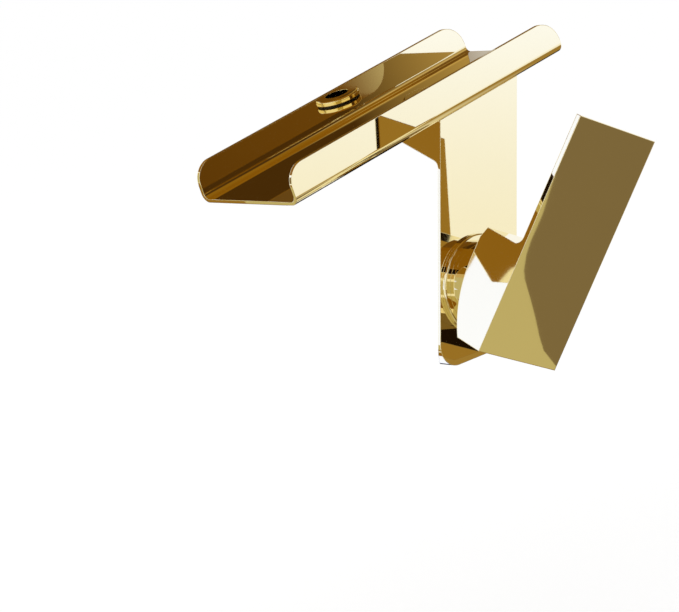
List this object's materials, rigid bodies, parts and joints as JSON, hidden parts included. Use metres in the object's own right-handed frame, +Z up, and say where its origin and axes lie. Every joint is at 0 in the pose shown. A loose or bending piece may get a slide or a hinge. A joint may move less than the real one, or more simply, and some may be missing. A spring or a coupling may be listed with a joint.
{
  "type": "waterfall basin faucet",
  "caption": "Waterfall basin faucet: a slim leaning post carries an open sloping trough as its spout, with a side lever for flow and temperature.",
  "frame": {"origin": "on the deck plane, at the mouth of the fixing stud's hole in the foot of the post", "axes": "+Z up out of the deck, -Y towards the basin (the way the trough falls), +X the lever's side"},
  "size_m": [0.1255, 0.1627, 0.1388],
  "materials": {
    "polished_gold": "mirror-polished gold plating",
    "raw_brass": "machined",
    "black_rubber": "matt",
    "white_plastic": "moulded",
    "ceramic": "lapped",
    "steel": "machined"
  },
  "bodies": {
    "faucet": {"body": "polished_gold", "trough": "polished_gold", "trough_gasket": "black_rubber", "outlet_nozzle": "polished_gold", "nozzle_seal": "black_rubber", "deck_seal": "black_rubber", "ring": "polished_gold", "ring_seal": "black_rubber", "sleeve": "polished_gold", "retaining_nut": "raw_brass", "cartridge_housing": "white_plastic", "housing_seal": "black_rubber", "cartridge_base": "white_plastic", "port_seals": "black_rubber", "fixed_disc": "ceramic"},
    "collar": {"stem_collar": "white_plastic"},
    "handle": {"lever": "polished_gold", "stem": "raw_brass", "stem_pin": "steel", "stem_insert": "white_plastic", "grub_screw": "steel", "grub_cap": "polished_gold"},
    "disc": {"moving_disc": "ceramic", "disc_carrier": "white_plastic"}
  },
  "joints": [
    {"name": "temperature", "type": "hinge", "parent": "faucet", "child": "collar", "pos_m": [0.008, 0.00981, 0.0304], "axis": [1, 0, 0], "range_deg": [-31, 59]},
    {"name": "flow", "type": "hinge", "parent": "collar", "child": "handle", "pos_m": [0.0168, 0.00981, 0.0304], "axis": [0, 0.8894, -0.4571], "range_deg": [-19.1, 2.9]},
    {"name": "disc_slide", "type": "slide", "parent": "collar", "child": "disc", "axis": [0, 0.4571, 0.8894], "range_m": [-0.0021, 0.00033]}
  ],
  "couplings": [
    {"joint": "disc_slide", "follows": "flow", "m_per_rad": 0.006282}
  ]
}
